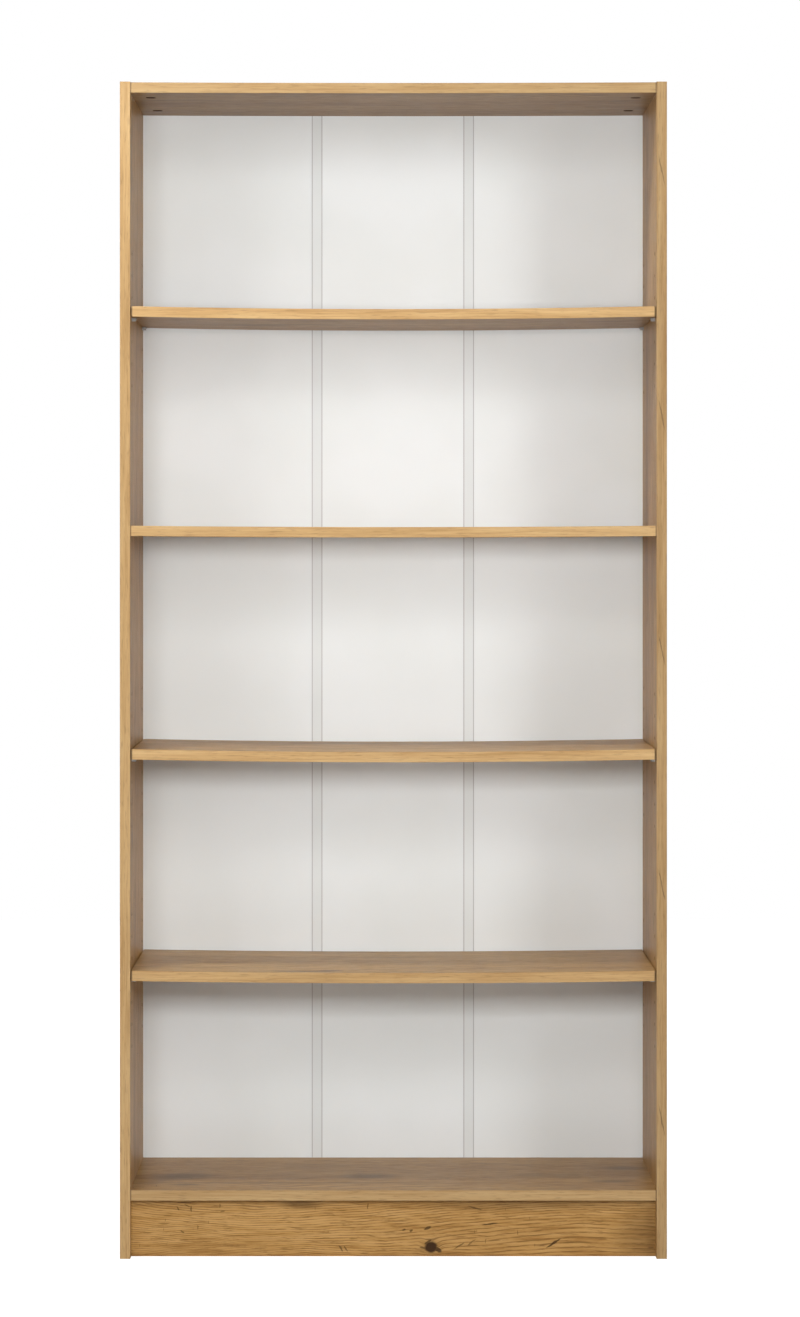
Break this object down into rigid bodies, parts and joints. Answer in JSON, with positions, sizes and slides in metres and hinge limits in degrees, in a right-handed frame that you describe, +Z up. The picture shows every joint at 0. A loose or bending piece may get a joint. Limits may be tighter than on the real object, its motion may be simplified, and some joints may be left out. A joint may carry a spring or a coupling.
{
  "type": "bookcase",
  "caption": "Tall open bookcase with a fixed middle shelf, loose shelves on metal supports, a plinth and a thin panelled back joined by strips.",
  "frame": {"origin": "on the floor under the middle of the bookcase", "axes": "+Z up, +X to the right seen from the front, the open front faces -Y"},
  "size_m": [0.79, 0.288, 1.7],
  "materials": {
    "oak_decor": "satin melamine, rustic oak decor, raw chipboard on cut faces",
    "oak_edge_band": "satin oak decor edge band",
    "white_fibreboard": "white lacquered face, brown raw rear face",
    "white_plastic": "smooth white extrusion",
    "zinc": "die-cast zinc",
    "steel": "zinc-plated steel",
    "beech": "raw beech"
  },
  "bodies": {
    "carcass": {"side_panel_left": "oak_decor", "side_panel_right": "oak_decor", "side_front_edge_left": "oak_edge_band", "side_top_edge_left": "oak_edge_band", "side_front_edge_right": "oak_edge_band", "side_top_edge_right": "oak_edge_band", "plinth": "oak_decor", "top_panel": "oak_decor", "top_panel_edge": "oak_edge_band", "fixed_shelf": "oak_decor", "fixed_shelf_edge": "oak_edge_band", "bottom_panel": "oak_decor", "bottom_panel_edge": "oak_edge_band", "back_panel_left": "white_fibreboard", "back_panel_centre": "white_fibreboard", "back_panel_right": "white_fibreboard", "back_strip_left": "white_plastic", "back_strip_right": "white_plastic", "cam_locks_top_panel": "zinc", "cam_bolts_top_panel": "steel", "dowels_top_panel": "beech", "cam_locks_fixed_shelf": "zinc", "cam_bolts_fixed_shelf": "steel", "dowels_fixed_shelf": "beech", "cam_locks_bottom_panel": "zinc", "cam_bolts_bottom_panel": "steel", "dowels_bottom_panel": "beech", "dowels_plinth": "beech", "back_nails": "steel"},
    "shelf_upper": {"shelf_upper": "oak_decor", "shelf_upper_edge": "oak_edge_band"},
    "shelf_middle": {"shelf_middle": "oak_decor", "shelf_middle_edge": "oak_edge_band"},
    "shelf_lower": {"shelf_lower": "oak_decor", "shelf_lower_edge": "oak_edge_band"},
    "upper_support_left_front": {"upper_support_left_front": "steel"},
    "upper_support_left_rear": {"upper_support_left_rear": "steel"},
    "upper_support_right_front": {"upper_support_right_front": "steel"},
    "upper_support_right_rear": {"upper_support_right_rear": "steel"},
    "middle_support_left_front": {"middle_support_left_front": "steel"},
    "middle_support_left_rear": {"middle_support_left_rear": "steel"},
    "middle_support_right_front": {"middle_support_right_front": "steel"},
    "middle_support_right_rear": {"middle_support_right_rear": "steel"},
    "lower_support_left_front": {"lower_support_left_front": "steel"},
    "lower_support_left_rear": {"lower_support_left_rear": "steel"},
    "lower_support_right_front": {"lower_support_right_front": "steel"},
    "lower_support_right_rear": {"lower_support_right_rear": "steel"}
  },
  "joints": [
    {"name": "shelf_upper_lift", "type": "slide", "parent": "carcass", "child": "shelf_upper", "axis": [0, 0, 1], "range_m": [0, 0.3]},
    {"name": "shelf_middle_lift", "type": "slide", "parent": "carcass", "child": "shelf_middle", "axis": [0, 0, 1], "range_m": [0, 0.3]},
    {"name": "shelf_lower_lift", "type": "slide", "parent": "carcass", "child": "shelf_lower", "axis": [0, 0, 1], "range_m": [0, 0.29]},
    {"name": "upper_support_left_front_pull", "type": "slide", "parent": "carcass", "child": "upper_support_left_front", "axis": [1, 0, 0], "range_m": [0, 0.0085]},
    {"name": "upper_support_left_rear_pull", "type": "slide", "parent": "carcass", "child": "upper_support_left_rear", "axis": [1, 0, 0], "range_m": [0, 0.0085]},
    {"name": "upper_support_right_front_pull", "type": "slide", "parent": "carcass", "child": "upper_support_right_front", "axis": [-1, 0, 0], "range_m": [0, 0.0085]},
    {"name": "upper_support_right_rear_pull", "type": "slide", "parent": "carcass", "child": "upper_support_right_rear", "axis": [-1, 0, 0], "range_m": [0, 0.0085]},
    {"name": "middle_support_left_front_pull", "type": "slide", "parent": "carcass", "child": "middle_support_left_front", "axis": [1, 0, 0], "range_m": [0, 0.0085]},
    {"name": "middle_support_left_rear_pull", "type": "slide", "parent": "carcass", "child": "middle_support_left_rear", "axis": [1, 0, 0], "range_m": [0, 0.0085]},
    {"name": "middle_support_right_front_pull", "type": "slide", "parent": "carcass", "child": "middle_support_right_front", "axis": [-1, 0, 0], "range_m": [0, 0.0085]},
    {"name": "middle_support_right_rear_pull", "type": "slide", "parent": "carcass", "child": "middle_support_right_rear", "axis": [-1, 0, 0], "range_m": [0, 0.0085]},
    {"name": "lower_support_left_front_pull", "type": "slide", "parent": "carcass", "child": "lower_support_left_front", "axis": [1, 0, 0], "range_m": [0, 0.0085]},
    {"name": "lower_support_left_rear_pull", "type": "slide", "parent": "carcass", "child": "lower_support_left_rear", "axis": [1, 0, 0], "range_m": [0, 0.0085]},
    {"name": "lower_support_right_front_pull", "type": "slide", "parent": "carcass", "child": "lower_support_right_front", "axis": [-1, 0, 0], "range_m": [0, 0.0085]},
    {"name": "lower_support_right_rear_pull", "type": "slide", "parent": "carcass", "child": "lower_support_right_rear", "axis": [-1, 0, 0], "range_m": [0, 0.0085]}
  ]
}
